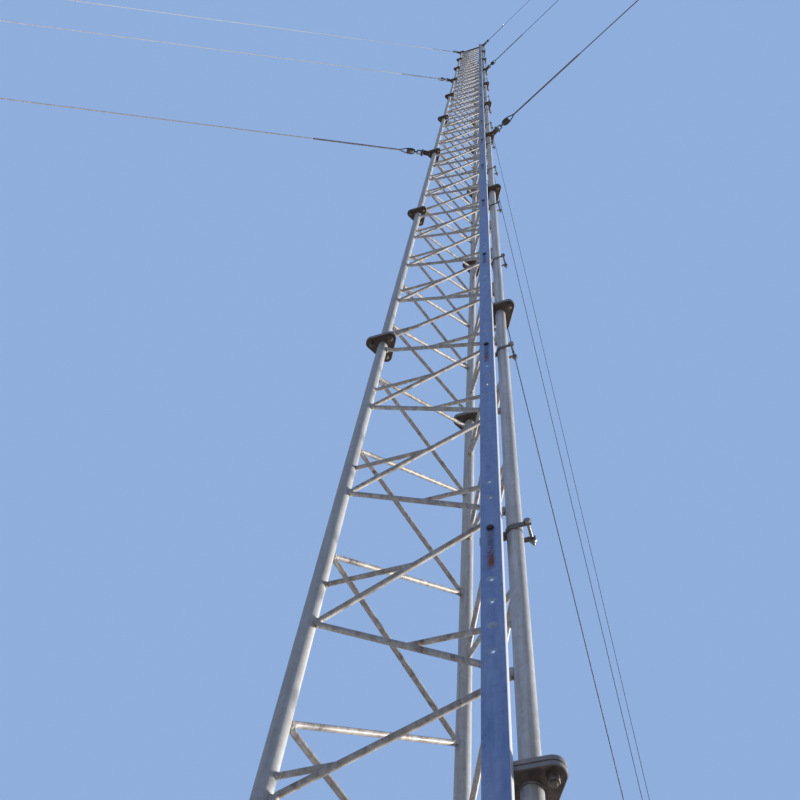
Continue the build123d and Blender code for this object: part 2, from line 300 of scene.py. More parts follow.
def plate(corners, radius, low, high, bevel, centres, x_axes, y_axes):
    """Plates on a rounded outline, with bevelled edges. Each lies in the plane of its X and Y
    axes at its centre, from low to high along the third axis.
    """
    levels = ((radius - bevel, low), (radius, low + bevel), (radius, high - bevel),
              (radius - bevel, high))
    outlines = np.array([rounded(corners, reach) for reach, _ in levels])
    heights = np.array([height for _, height in levels])
    centres = np.atleast_2d(centres)
    x_axes = np.broadcast_to(x_axes, centres.shape)
    y_axes = np.broadcast_to(y_axes, centres.shape)
    z_axes = np.cross(x_axes, y_axes)
    rings = (
        centres[:, None, None]
        + outlines[None, :, :, :1] * x_axes[:, None, None]
        + outlines[None, :, :, 1:] * y_axes[:, None, None]
        + heights[None, :, None, None] * z_axes[:, None, None]
    )
    return skin(rings)


def shaded_flat_zinc():
    """Galvanised plate, dark brown above and below where its normal is near the vertical, which is
    painted shade of the flat faces that the sun doesn't reach, together with some dirt, and clean
    pale zinc round its rim.
    """
    # Its dark browns are painted shade of the flat faces, with some dirt.
    material = zinc("galvanised_flange", "#6B5B50", "#3A302A", "#2C1B13", 0.5, metal=0.1, run=0.6)
    base = material.node_tree.nodes["Principled BSDF"].inputs["Base Color"]
    painted_shade_brown = base.links[0].from_socket
    faces = node(material, "ShaderNodeNewGeometry")
    normal = node(material, "ShaderNodeSeparateXYZ", {"Vector": faces.outputs["Normal"]})
    level = maths(material, "ABSOLUTE", normal.outputs["Z"])
    # Painted shade: faces whose normal is near the vertical get the dark brown in full, and the rim
    # 0.35 of it.
    rim_level, flat_level, rim_shade_share = 0.3, 0.8, 0.35
    flat_shade_share = mapped(material, level, rim_level, flat_level, start=rim_shade_share)
    colour = blend(material, flat_shade_share, "#C4BFBF", painted_shade_brown)
    material.node_tree.links.new(colour, base)
    return material


flange_zinc = shaded_flat_zinc()
turns = np.radians([0, 120, 240])
flange_corners = np.column_stack([np.cos(turns), np.sin(turns)]) * flange_bolt
grid_legs = np.repeat(leg_axes, sections, axis=0)
grid_out = np.column_stack([np.repeat(outward, sections, axis=0), np.zeros(3 * sections)])
grid_side = np.cross(up, grid_out)
grid_feet = np.column_stack([grid_legs, np.tile(section_feet, 3)])
# A weld bead round the tube: 3 mm out over the plate and 3.5 mm up the tube.
bead_profile = (
    (tube_radius - 0.002, flange_thickness),
    (tube_radius + 0.003, flange_thickness),
    (tube_radius + 0.0026, flange_thickness + 0.0018),
    (tube_radius + 0.0015, flange_thickness + 0.003),
    (tube_radius, flange_thickness + 0.0035),
    (tube_radius - 0.002, flange_thickness + 0.0035),
)
bead_below = tuple((radius, section_length - height) for radius, height in bead_profile[::-1])
piece(
    "flange_welds",
    joined(
        turned(bead_profile, grid_feet, up, sides=24),
        turned(bead_below, grid_feet, up, sides=24),
    ),
    flange_zinc,
)
for name, rise in (("foot", 0), ("head", section_length - flange_thickness)):
    centres = np.column_stack([grid_legs, np.tile(section_feet + rise, 3)])
    piece(
        f"{name}_flange_plates",
        plate(
            flange_corners, flange_corner, 0, flange_thickness, 0.002, centres, grid_out, grid_side
        ),
        flange_zinc,
        replaced=[f"{name}_flanges"],
    )


def flange_bolts(heights):
    """Places of the flange bolts of all legs at these heights."""
    leg_out = np.column_stack([outward, np.zeros(3)])
    leg_side = np.cross(up, leg_out)
    around = (
        leg_out[:, None] * flange_corners[None, :, :1]
        + leg_side[:, None] * flange_corners[None, :, 1:]
        + np.column_stack([leg_axes, np.zeros(3)])[:, None]
    ).reshape(-1, 3)
    return (around[None] + np.asarray(heights)[:, None, None] * up).reshape(-1, 3)


joints = section_feet[1:]
nut = nut_profile(bolt=0.016, flats=0.024, height=0.013, washer=0.030, stud=0.008)
bolt_head = nut_profile(bolt=0.012, flats=0.024, height=0.010, washer=0.030, stud=0.0025)
piece(
    "flange_bolts",
    joined(
        turned(bolt_head, flange_bolts(joints + flange_thickness), up),
        turned(nut, flange_bolts(joints - flange_thickness), -up),
        turned(nut, flange_bolts([foot + flange_thickness]), up),
    ),
    bolt_zinc,
)

# Bracing: on each side of a section one 18 mm steel rod is bent back and forth between two legs
# and welded to them at its bends. The front side also has 16 mm half rungs, welded from leg to
# rod. The section is dipped whole.


def tube(paths, across, radius, sides=12):
    """Round bars along paths[copy, point, xyz] that lie in planes square to across. A ring's
    points are its path point + radius * (cos, sin) of the turn, square to the mean of the unit
    directions before and after that point.
    """
    paths = np.asarray(paths, float)
    step = unit(np.diff(paths, axis=1))
    along = unit(
        np.concatenate([step[:, :1], step], axis=1) + np.concatenate([step, step[:, -1:]], axis=1)
    )
    first = np.broadcast_to(np.asarray(across, float).reshape(-1, 1, 3), along.shape)
    second = np.cross(along, first)
    turn = np.arange(sides) * 2 * np.pi / sides
    reach = np.broadcast_to(np.asarray(radius, float), paths.shape[1:2])[None, :, None, None]
    rings = paths[:, :, None] + reach * (
        np.cos(turn)[:, None] * first[:, :, None] + np.sin(turn)[:, None] * second[:, :, None]
    )
    return skin(rings)


face_width = np.linalg.norm(legs["right"] - legs["left"])
bay = section_length / 4
bends = 9
runs = bends - 1
rod_radius = 0.009
rung_radius = 0.008
bend_radius = 0.018  # of the rod's middle line
rod_end = 0.075  # of the rod, above the section's foot and below its head
first_bend = 0.0844
brace_drop = 0.030  # of the bends below the quarter points
weld_sink = 0.0006
rung_sink = 0.001
seat = tube_radius + rod_radius - weld_sink
bend_steps = 9

# Heights of the bends, and the slope of the rod's run from each bend to the next: the run
# touches both bend circles, on opposite sides, where rise * cos - span * sin = 2 * radius.
bend_heights = np.clip(
    np.arange(bends) * bay / 2 - brace_drop, first_bend, section_length - first_bend
)
span = face_width - 2 * (seat + bend_radius)
rise = np.diff(bend_heights)
slope = np.arccos(2 * bend_radius / np.hypot(rise, span)) - np.arctan2(span, rise)
arrive = np.concatenate([[0], -(np.pi / 2 - slope)])
leave = np.concatenate([np.pi / 2 - slope, [0]])
bend_turn = arrive[:, None] + (leave - arrive)[:, None] * np.linspace(0, 1, bend_steps)
near = np.arange(bends) % 2 == 0
bend_x = np.where(near, seat + bend_radius, face_width - seat - bend_radius)
hand = np.where(near, -1, 1)[:, None]
rod_x = (bend_x[:, None] + hand * bend_radius * np.cos(bend_turn)).ravel()
rod_z = (bend_heights[:, None] + bend_radius * np.sin(bend_turn)).ravel()
rod_x = np.concatenate([rod_x[:1], rod_x, rod_x[-1:]])
rod_z = np.concatenate([[rod_end], rod_z, [section_length - rod_end]])

# Half rungs: at the middle height of each run, from the leg where the run starts.
rung_z = (np.arange(runs) + 0.5) * bay / 2 - brace_drop
run_x = rod_x[1:-1].reshape(bends, bend_steps)
run_z = rod_z[1:-1].reshape(bends, bend_steps)
share = (rung_z - run_z[:-1, -1]) / (run_z[1:, 0] - run_z[:-1, -1])
rung_rod = run_x[:-1, -1] + share * (run_x[1:, 0] - run_x[:-1, -1])
rung_start = tube_radius - rung_sink
rung_leg = np.where(near[:-1], rung_start, face_width - rung_start)

# Rod is bent before it is dipped, and its coat wears: warm pale grey with brown rust stains.
rod_zinc = zinc("galvanised_rod", "#EBE8E3", "#A3978D", "#6E4C3B", 0.56, metal=0.1, run=0.4)
# Weld beads lie upright on both sides of a bend, and a ring lies round each rung at its leg.
weld_profile = (
    (0.0005, -0.016), (0.004, -0.012), (0.0062, -0.004), (0.0062, 0.004), (0.004, 0.012),
    (0.0005, 0.016),
)
weld_aside = 0.0062
weld_off_tube = 0.003
ring_profile = ((0.0075, -0.003), (0.0105, 0), (0.0095, 0.003), (0.0075, 0.005))
ring_off_leg = 0.002
for number, height in enumerate(section_feet, start=1):
    shapes = []
    for start, end in (("left", "right"), ("right", "back"), ("back", "left")):
        origin = np.append(legs[start], height)
        across = unit(np.append(legs[end] - legs[start], 0))
        face = np.cross(across, up)
        path = origin + rod_x[:, None] * across + rod_z[:, None] * up
        shapes.append(tube(path[None], face, rod_radius))
        touch_x = np.where(near, tube_radius, face_width - tube_radius)
        touch = origin + touch_x[:, None] * across + bend_heights[:, None] * up
        for aside in (-weld_aside, weld_aside):
            beads = touch + aside * face - hand * weld_off_tube * across
            shapes.append(turned(weld_profile, beads, up, sides=8))
        if start == "left":
            leg_ends = origin + rung_leg[:, None] * across + rung_z[:, None] * up
            rod_ends = origin + rung_rod[:, None] * across + rung_z[:, None] * up
            shapes.append(tube(np.stack([leg_ends, rod_ends], axis=1), face, rung_radius))
            inwards = unit(rod_ends - leg_ends)
            rings = leg_ends + inwards * ring_off_leg
            shapes.append(turned(ring_profile, rings, inwards, sides=12))
    section = f"section_{number:02d}"
    piece(f"{section}_rods", joined(*shapes), rod_zinc, replaced=[f"{section}_bracing"])

# Climbing rail: 3 m lengths of lipped channel, 3 mm steel sheet cold formed and galvanised, with
# the web to the front. A bolt fixes it at each clamp, with two dimpled holes above it and four
# below, and rust runs down from the bolt.
rail_low, rail_high = (np.array(corner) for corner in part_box("climbing_rail"))
rail_x = (rail_low[0] + rail_high[0]) / 2
rail_half = (rail_high[0] - rail_low[0]) / 2
rail_depth = rail_high[1] - rail_low[1]
rail_wall = 0.003
rail_lip = 0.010
rail_corner = 0.004
rail_corner_steps = 5
rail_step = 3.004  # from one length's foot to the next
rail_hairline = 0.0004  # between two lengths
clamp_rises = (0.95, 2.45)  # in a section
clamp_heights = np.sort(np.concatenate([section_feet + rise for rise in clamp_rises]))
rail_bolt_drop = 0.090  # below a clamp's middle
rail_bolt_heights = clamp_heights - rail_bolt_drop


def channel(start, end):
    """A length of channel: its section's outer line, bent at four corners, and the same line
    moved in by the wall, carried from start to end.
    """
    reach, front, back = rail_half - rail_corner, -rail_depth + rail_corner, -rail_corner
    corners = [(-reach, front), (reach, front), (reach, back), (-reach, back)]
    outer = rounded(corners, rail_corner, rail_corner_steps)
    inner = rounded(corners, rail_corner - rail_wall, rail_corner_steps)[::-1]
    lip = rail_half - rail_lip
    last = rail_corner_steps  # the points of the corner before the first lip
    outline = np.concatenate([
        outer[:-last], [(lip, 0), (lip, -rail_wall)], inner[last:], inner[:last],
        [(-lip, -rail_wall), (-lip, 0)], outer[-last:],
    ])
    rings = np.array([
        np.column_stack([outline + (rail_x, rail_high[1]), np.full(len(outline), height)])
        for height in (start, end)
    ])
    return skin(rings[None])


shortest_rail = 0.01
rail_starts = np.arange(rail_low[2], rail_high[2] - shortest_rail, rail_step)
rail_ends = np.minimum(rail_starts + rail_step - rail_hairline, rail_high[2])
rail_shape = joined(*[channel(start, end) for start, end in zip(rail_starts, rail_ends)])


def rail_zinc():
    """Galvanised sheet: its web is a painted reflection of the sky in blue, which turns greyer from
    7 to 12 m up, and its side walls are pale. Rust runs down from each fixing bolt in a line 10 to
    28 mm wide that ends 200 mm below it, dark and broken in blotches of 18 mm at first, orange at
    its foot.
    """
    # The web's light blue, dark blue and blue stain are a painted reflection of the sky.
    material = zinc("galvanised_sheet", "#B4CAF2", "#879ED4", "#4F5A86", 0.62, metal=0.2, run=0.1)
    rust_grows, rust_freshens, rust_stops = (0.04, 0.16), (0.10, 0.15), (0.18, 0.21)
    rust_edge, blotch_width, blotch_noise = (0.005, 0.014), 0.018, (0.36, 0.52)
    grey_heights, grey_share = (7.0, 12.0), 0.85
    wall_edge = (rail_half - 0.0015, rail_half - 0.0005)
    base = material.node_tree.nodes["Principled BSDF"].inputs["Base Color"]
    sky_reflection_web = base.links[0].from_socket
    place = node(material, "ShaderNodeTexCoord").outputs["Object"]
    parts = node(material, "ShaderNodeSeparateXYZ", {"Vector": place}).outputs
    distance = maths(material, "ABSOLUTE", maths(material, "SUBTRACT", parts["X"], rail_x))
    high_bolt = rail_bolt_heights[0] + sections * section_length
    below = maths(material, "SUBTRACT", high_bolt, parts["Z"])
    drop = maths(material, "MODULO", below, clamp_rises[1] - clamp_rises[0])
    rust = mapped(material, drop, *rust_grows, start=0.6)
    for share in (
        mapped(material, drop, *rust_stops, 1.0, 0.0),
        mapped(material, distance, *rust_edge, 1.0, 0.0),
        mapped(material, noise(material, place, blotch_width, 6, 0.75), *blotch_noise, start=0.35),
    ):
        rust = maths(material, "MULTIPLY", rust, share)
    rust_colour = blend(material, mapped(material, drop, *rust_freshens), "#4A3836", "#91492A")
    high = mapped(material, parts["Z"], *grey_heights, end=grey_share)
    walls = mapped(material, distance, *wall_edge)
    sheet = blend(material, walls, blend(material, high, sky_reflection_web, "#989FB0"), "#E3E4E8")
    material.node_tree.links.new(blend(material, rust, sheet, rust_colour), base)
    return material


rail = piece("rail_channel", rail_shape, rail_zinc(), replaced=["climbing_rail"])
hole_offsets = np.array([-0.537, -0.441, -0.345, -0.249, 0.178, 0.274])
hole_heights = (rail_bolt_heights[:, None] + hole_offsets).ravel()
hole_edge = 0.03  # between a hole and the rail's ends
hole_heights = hole_heights[
    (hole_heights > rail_low[2] + hole_edge) & (hole_heights < rail_high[2] - hole_edge)
]
drill_start = 0.005  # in front of the web
hole_places = up_line(rail_x, rail_low[1] - drill_start, hole_heights)
# The drills cut a shallow cone 29 mm wide with a hole of 9.6 mm at its middle.
drill_mesh = bpy.data.meshes.new("drills")
drill_profile = ((0.0150, 0), (0.0143, 0.0049), (0.0048, 0.0074), (0.0048, 0.012))
# The dimples' cut faces are painted brighter than the web, a painted highlight round each hole, and
# their metallic coat gives small glints.
dimple_highlight_zinc = zinc("painted_highlight_dimple_zinc", "#C3CAD8", "#8E97AE", "#6B5A50", 0.6, metal=0.5, run=0.8)
drill_shape = turned(drill_profile, hole_places, (0, 1, 0), sides=16)
drill_mesh.from_pydata(drill_shape[0].tolist(), [], drill_shape[1])
drill_mesh.materials.append(dimple_highlight_zinc)
drills = bpy.data.objects.new("drills", drill_mesh)
bpy.context.collection.objects.link(drills)
cut = rail.modifiers.new("holes", "BOOLEAN")
cut.object = drills
cut.solver = "EXACT"
cut.material_mode = "TRANSFER"
bpy.context.view_layer.update()
cut_mesh = bpy.data.meshes.new_from_object(
    rail.evaluated_get(bpy.context.evaluated_depsgraph_get())
)
rail.modifiers.clear()
rail.data = cut_mesh
rail.data.set_sharp_from_angle(angle=math.radians(35))
bpy.data.objects.remove(drills)

# Rail clamps: a band of galvanised flat bar in a U round the right leg, closed by a long bolt
# through its ends. Its arm runs on behind the rail, and a tongue under the arm holds the rail
# by a bolt.
seat_gap = 0.0003
band_inner = tube_radius + seat_gap
band_wall = 0.004
outside = band_inner + band_wall
band_height = 0.022
band_end = outside + 0.026
arm_half = 0.003
arm_height = 0.040
arm_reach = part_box("rail_clamps")[0][0] - legs["right"][0]
tongue_x = rail_x - legs["right"][0]
tongue_end = rail_low[1] + rail_wall + seat_gap - legs["right"][1]
tongue_drop = 0.100
# Flat bar: a dark brownish grey, darker than the other zinc.
clamp_zinc = zinc("galvanised_clamp", "#8B867D", "#54504A", "#3F2D20", 0.48, run=0.8)


def upright(outline, low, high, centres):
    """Flat shapes: a closed outline in plan, carried from low to high at each centre."""
    outline = np.asarray(outline, float)
    rings = centres[:, None, None] + np.array([
        np.column_stack([outline, np.full(len(outline), height)]) for height in (low, high)
    ])
    return skin(rings)


clamp_centres = up_line(*legs["right"], clamp_heights)
half_turn = np.linspace(np.pi / 2, 3 * np.pi / 2, 25)
half_circle = np.column_stack([np.cos(half_turn), np.sin(half_turn)])
band = np.concatenate([
    [(band_end, band_inner), (band_end, outside)], half_circle * outside,
    [(band_end, -outside), (band_end, -band_inner)], half_circle[::-1] * band_inner,
])
arm_weld = -outside + 0.002  # the arm's end, sunk in the band
arm = [(arm_reach, -arm_half), (arm_weld, -arm_half), (arm_weld, arm_half), (arm_reach, arm_half)]
tongue = [(tongue_x - arm_half, tongue_end), (tongue_x + arm_half, tongue_end),
          (tongue_x + arm_half, 0), (tongue_x - arm_half, 0)]
piece(
    "clamp_bands",
    joined(
        upright(band, -band_height / 2, band_height / 2, clamp_centres),
        upright(arm, -arm_height / 2, arm_height / 2, clamp_centres),
        upright(tongue, -tongue_drop, 0, clamp_centres),
    ),
    clamp_zinc,
    replaced=["rail_clamps"],
)
shank, flat, washer = 0.005, 0.0095, 0.011
long_bolt = (
    (0.0085, -outside - 0.011, 1), (flat, -outside - 0.009, 1), (flat, -outside - 0.001, 1),
    (washer, -outside - 0.001), (washer, -outside), (shank, -outside), (shank, outside),
    (washer, outside), (washer, outside + 0.0015), (flat, outside + 0.0015, 1),
    (flat, outside + 0.0095, 1), (0.0065, outside + 0.0105), (shank, outside + 0.0105),
    (shank, outside + 0.019), (0.004, outside + 0.020),
)
bolt_edge = 0.010  # from the band's end
bolt_places = clamp_centres + (band_end - bolt_edge, 0, 0)
# Zinc plated bolts are smooth and metallic, so their heads and nuts glint in the sun.
bright_zinc = zinc("bright_bolt_zinc", "#97938D", "#5E5A55", "#43342A", 0.56, metal=0.8,
                   rough=(0.24, 0.36), run=0.8)
piece("clamp_bolts", turned(long_bolt, bolt_places, (0, 1, 0)), bright_zinc)
rail_bolt = (
    (0.0085, 0), (flat, 0.001, 1), (flat, 0.006, 1), (0.0085, 0.0072, 1), (0.006, 0.0076),
)
# These bolts have lost their zinc: nearly black brown rust without sheen.
rust_steel = zinc("rusted_bolt", "#3F2F2A", "#231A18", "#3B2415", 0.5, run=0.8)
head_places = up_line(rail_x, rail_low[1], rail_bolt_heights)
piece("rail_bolts", turned(rail_bolt, head_places, (0, -1, 0)), rust_steel)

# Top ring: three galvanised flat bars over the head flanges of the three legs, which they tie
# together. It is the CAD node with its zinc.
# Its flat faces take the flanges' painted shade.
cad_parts["top_ring"].data.materials.clear()
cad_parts["top_ring"].data.materials.append(flange_zinc)

# Guy lugs: a foot bolted under the outward ear of a flange, and an upright web with the hole for
# the shackle's pin. Plate 12 mm thick, galvanised and stained, in the flanges' zinc with its
# painted shade on the flat faces.
guy_sections = np.array([4, 7, 10])
lug_thickness = 0.012
lug_half = 0.025
lug_inset, lug_reach, web_start = 0.020, 0.065, 0.020
pin_reach, pin_drop, lug_end = 0.075, 0.028, 0.022
pin_radius = 0.006
weld_lap = 0.001  # of the web into the foot
web_under = 0.004  # from the foot to the web's straight edge
lug_under = foot + guy_sections * section_length - flange_thickness
out3 = np.column_stack([outward, np.zeros(3)])
lug_out = np.repeat(out3, 3, axis=0)
lug_level = np.tile(lug_under, 3)
lug_bolt = lug_out * (leg_circle + flange_bolt) + lug_level[:, None] * up
lug_side = np.cross(up, lug_out)
foot_corner = 0.006
foot_inner, foot_outer = foot_corner - lug_inset, lug_reach - foot_corner
foot_side = lug_half - foot_corner
foot_corners = [
    (foot_inner, -foot_side), (foot_outer, -foot_side), (foot_outer, foot_side),
    (foot_inner, foot_side),
]
pins = lug_bolt + lug_out * pin_reach - up * (lug_thickness + pin_drop)
nose_start, nose_end = -np.pi * 0.62, np.pi * 0.30  # about the pin, from the outward line
web_turn = np.linspace(nose_start, nose_end, 14)
web_nose = (
    np.column_stack([np.cos(web_turn), np.sin(web_turn)]) * lug_end
    + (pin_reach, -lug_thickness - pin_drop)
)
web_outline = np.concatenate([
    web_nose,
    [(lug_reach, -lug_thickness + weld_lap), (web_start, -lug_thickness + weld_lap)],
    [(web_start, -lug_thickness - web_under)],
])
tangent = np.cross(lug_out, up)
web_rings = np.array([
    lug_bolt[:, None] + web_outline[:, :1] * lug_out[:, None] + web_outline[:, 1:] * up
    + offset * tangent[:, None]
    for offset in (-lug_thickness / 2, lug_thickness / 2)
]).transpose(1, 0, 2, 3)
piece(
    "guy_lug_plates",
    joined(
        plate(foot_corners, foot_corner, -lug_thickness, 0, 0.0015, lug_bolt, lug_out, lug_side),
        skin(web_rings),
    ),
    flange_zinc,
    replaced=["guy_lugs"],
)

# Shackles: a bow of 14 mm bar with a flattened eye at each end, forged and galvanised. Its
# pin passes through the lug and has a head at one end and a nut at the other.
anchor_radius = 18.0
anchor_height = 0.32
anchor_pitch = 0.075
shackle_length = 0.060  # from the pin's axis to the inside of the bow
bow_radius = 0.007
bow_inside = 0.022  # between its two legs
bow_half = bow_inside / 2 + bow_radius
bow_reach = shackle_length + bow_radius
bow_corner = 0.014
anchor_middle = out3 * anchor_radius + up * anchor_height
anchor_along = unit(pins.reshape(3, 3, 3)[:, 1] - anchor_middle)
anchor_across = np.cross(anchor_along, np.cross(out3, up))
lower_pins = (
    anchor_middle[:, None]
    + anchor_across[:, None] * ((np.arange(3) - 1) * anchor_pitch)[None, :, None]
).reshape(-1, 3)
down = unit(lower_pins - pins)
plumb = np.cross(tangent, down)
bow_turn = np.linspace(0, np.pi / 2, 7)
bow_x = bow_reach - bow_corner + bow_corner * np.sin(bow_turn)
bow_y = bow_half - bow_corner + bow_corner * np.cos(bow_turn)
bow_line = np.concatenate([
    [(0.0, bow_half)], np.column_stack([bow_x, bow_y]),
    np.column_stack([bow_x, -bow_y])[::-1], [(0.0, -bow_half)],
])
bow_paths = pins[:, None] + bow_line[:, :1] * down[:, None] + bow_line[:, 1:] * tangent[:, None]
# Forgings are dipped with their scale skin: a rough mid grey with brown in the hollows.
forged = zinc("forged_zinc", "#9A9790", "#5F5B55", "#54402F", 0.5, metal=0.3, run=0.8)
eye_profile = ((0.010, -0.0065), (0.013, -0.005), (0.013, 0.005), (0.010, 0.0065))
pin_half, pin_head, pin_nut = 0.0255, 0.011, 0.0105
pin_profile = (
    (0.009, -0.034), (pin_head, -0.033), (pin_head, -0.028), (0.009, -pin_half),
    (pin_radius, -pin_half), (pin_radius, pin_half), (pin_nut, pin_half, 1), (pin_nut, 0.034, 1),
    (pin_radius, 0.034), (pin_radius, 0.038),
)
piece(
    "shackle_bows",
    joined(
        tube(bow_paths, plumb, bow_radius),
        turned(eye_profile, pins + tangent * bow_half, tangent),
        turned(eye_profile, pins - tangent * bow_half, tangent),
    ),
    forged,
    replaced=["shackles"],
)
piece("shackle_pins", turned(pin_profile, pins, tangent), bolt_zinc)

# Guys: galvanised wire rope 10 mm thick, six strands round a core, taut from the mast to the
# ground. At each end a grip of thick wires is wrapped on it for 1.2 m. The grip's loop is
# spread by a cast core, and hangs on the shackle's bow or the turnbuckle's pin by a thimble.
eye_clearance = 0.0005  # between the bow and the edges of the eye's flat side
eye_radius = (bow_radius + eye_clearance) / math.tan(math.pi / 6)
eye_wall = 0.008
rope_radius = 0.005
rope_lay = 0.20
grip_radius = 0.009
grip_lay = 0.10
grip_length = 1.2
grip_overlap = 0.05  # of the rope in the grip
loop_length = 0.20
loop_half = 0.028
loop_leg = 0.006
loop_seat = 0.0187  # from the eye's centre
loop_overlap = 0.030  # of the grip's wires on the loop
turnbuckle_length = 0.46
upper_eye = shackle_length - seat_gap + eye_radius
eye_seat = eye_radius - pin_radius - seat_gap
guy_length = np.linalg.norm(lower_pins - pins, axis=1)
lower_eye = guy_length - turnbuckle_length - eye_seat


def laid(start, end, radius, lay, strands, origin, along, first, spacing):
    """Laid rope along a straight line: its section is a star whose radius falls by an eighth
    between two strands, and turns once in each lay. The rings are evenly spaced, and the first
    and last are three quarters as wide.
    """
    valley, end_width = 0.88, 0.75
    count = max(int((end - start) / spacing), 4)
    place = np.linspace(start, end, count)
    turn = np.arange(2 * strands) * np.pi / strands
    reach = np.where(np.arange(2 * strands) % 2 == 0, radius, radius * valley)
    taper = np.ones(count)
    taper[[0, -1]] = end_width
    angle = turn[None] + (2 * np.pi * place / lay)[:, None]
    second = np.cross(along, first)
    rings = (
        origin
        + place[:, None, None] * along
        + (taper[:, None] * reach * np.cos(angle))[:, :, None] * first
        + (taper[:, None] * reach * np.sin(angle))[:, :, None] * second
    )
    return skin(rings[None])


def thimble(centre, towards, plane_axis):
    """A thimble with the rope in its groove: a closed tube of oval section along a pear-shaped
    ring (ring * cos + tail * cos cubed, ring * sin * (1 - a quarter of cos)), where cos counts
    only on the rope's side of the tail and the narrowing.
    """
    steps, sides = 28, 10
    thickness, broadness, tail = 0.0042, 1.35, 0.012
    turn = np.linspace(0, 2 * np.pi, steps, endpoint=False)
    ring = eye_radius + eye_wall / 2
    rope_side = np.clip(np.cos(turn), 0, None)
    side = np.cross(plane_axis, towards)
    line = (
        centre
        + (ring * np.cos(turn) + rope_side ** 3 * tail)[:, None] * towards
        + (ring * np.sin(turn) * (1 - 0.25 * rope_side))[:, None] * side
    )
    along = unit(np.roll(line, -1, 0) - np.roll(line, 1, 0))
    second = np.cross(along, plane_axis)
    around = np.arange(sides) * 2 * np.pi / sides
    rings = line[:, None] + thickness * (
        broadness * np.cos(around)[:, None] * plane_axis
        + np.sin(around)[:, None] * second[:, None]
    )
    index = np.arange(steps * sides).reshape(steps, sides)
    after = np.roll(index, -1, 0)
    quads = np.stack([index, np.roll(index, -1, 1), np.roll(after, -1, 1), after], axis=-1)
    return rings.reshape(-1, 3), quads.reshape(-1, 4).tolist()


def grip_loop(centre, towards, plane_axis):
    """The loop at a grip's end and the cast core that it lies round. The loop is a teardrop: half
    its length * (1 + cos) along the rope, and half its width / peak * sin * sin of half the turn
    to the power 1.5 across. The core's sections are ellipses as wide as the loop, whose
    thickness rises and falls as a sine wave.
    """
    side = np.cross(plane_axis, towards)
    peak = 0.70  # of the sines' product

    def drop(turn):
        place = centre + (loop_seat + loop_length * (1 + np.cos(turn)) / 2)[:, None] * towards
        return place, (loop_half / peak * np.sin(turn) * np.sin(turn / 2) ** 1.5)[:, None]

    gap, core_edge, core_half, core_steps, sides = 0.15, 0.35, 0.010, 9, 12
    place, out = drop(np.linspace(gap, 2 * np.pi - gap, 33))
    middle, half = drop(np.linspace(2.55, 1.55, core_steps))
    thick = core_half * np.sin(np.linspace(core_edge, np.pi - core_edge, core_steps))
    around = np.arange(sides) * 2 * np.pi / sides
    core = (
        middle[:, None]
        + (half * np.cos(around))[:, :, None] * side
        + (thick[:, None] * np.sin(around))[:, :, None] * plane_axis
    )
    return joined(
        tube((place + out * side)[None], plane_axis, loop_leg, sides=8), skin(core[None])
    )


# Drawn wire is bright when new, and the left guys look nearly white. The others take a shaded copy
# of that rope, a dark blue grey that is painted shade.
bright_rope = zinc("wire_rope_zinc", "#E3E0D8", "#A9A69F", "#7A6B5C", 0.64, metal=0.1, run=0.8)
painted_shade_rope = zinc("painted_shade_rope_zinc", "#6E7176", "#45484E", "#453B34", 0.64, metal=0.1, run=0.8)
# Grip wires are thick and hold dirt between them: a dark grey.
grip_zinc = zinc("grip_zinc", "#8F9094", "#606166", "#51463E", 0.6, metal=0.3, run=0.8)
# Cast iron under a thin coat is rough: a dark grey that the sun hardly lightens.
core_iron = zinc("cast_core_zinc", "#5C5A54", "#34332F", "#2B241C", 0.5, run=0.8)
level_names = ("low", "middle", "top")
thimbles, loops = [], []
for index, (leg, level) in enumerate((leg, level) for leg in legs for level in level_names):
    start = upper_eye + eye_radius + eye_wall
    end = lower_eye[index] - eye_radius - eye_wall
    grip_start = upper_eye + loop_seat + loop_length - loop_overlap
    grip_end = lower_eye[index] - loop_seat - loop_length + loop_overlap
    rope_start = start + grip_length - grip_overlap
    rope_end = end - grip_length + grip_overlap
    here = (pins[index], down[index], tangent[index])
    for eye, towards in ((upper_eye, down[index]), (lower_eye[index], -down[index])):
        centre = pins[index] + down[index] * eye
        thimbles.append(thimble(centre, towards, tangent[index]))
        loops.append(grip_loop(centre, towards, plumb[index]))
    name = f"{level}_guy_{leg}"
    piece(
        f"{name}_rope",
        laid(rope_start, rope_end, rope_radius, rope_lay, 6, *here, spacing=rope_lay / 8),
        # The right and back guys take the shaded copy: painted shade.
        bright_rope if leg == "left" else painted_shade_rope,
        replaced=[name],
    )
    piece(
        f"{name}_grips",
        joined(*[
            laid(*ends, grip_radius, grip_lay, 7, *here, spacing=grip_lay / 8)
            for ends in ((grip_start, start + grip_length), (end - grip_length, grip_end))
        ]),
        grip_zinc,
    )
piece("thimbles", joined(*thimbles), bolt_zinc)
piece("grip_loops", joined(*loops), core_iron)

# Turnbuckles: an open forged body of two bars with a boss at each end, two threaded rods, and
# a fork with a pin on each rod, all galvanised. They set the pull of the guys.
body_half, body_side, boss, bar = 0.110, 0.022, 0.024, 0.005
bar_offset = body_side - bar
middle = pins + down * (guy_length - turnbuckle_length / 2)[:, None]
side_y = np.cross(tangent, down)
bars = [
    np.stack([middle - down * body_half, middle + down * body_half], axis=1)
    + (side_y * offset)[:, None]
    for offset in (-bar_offset, bar_offset)
]
boss_profile = ((0.014, 0), (0.0165, 0.003), (0.0165, boss - 0.003), (0.014, boss))
thread_start, thread_pitch, thread_turns = 0.044, 0.004, 27
thread_crest, thread_root = 0.0080, 0.0071
thread_row = np.arange(2 * thread_turns)
thread = np.column_stack([
    np.where(thread_row % 2, thread_crest, thread_root),
    thread_start + thread_row * thread_pitch / 2,
])
upper_pins = pins + down * (guy_length - turnbuckle_length)[:, None]
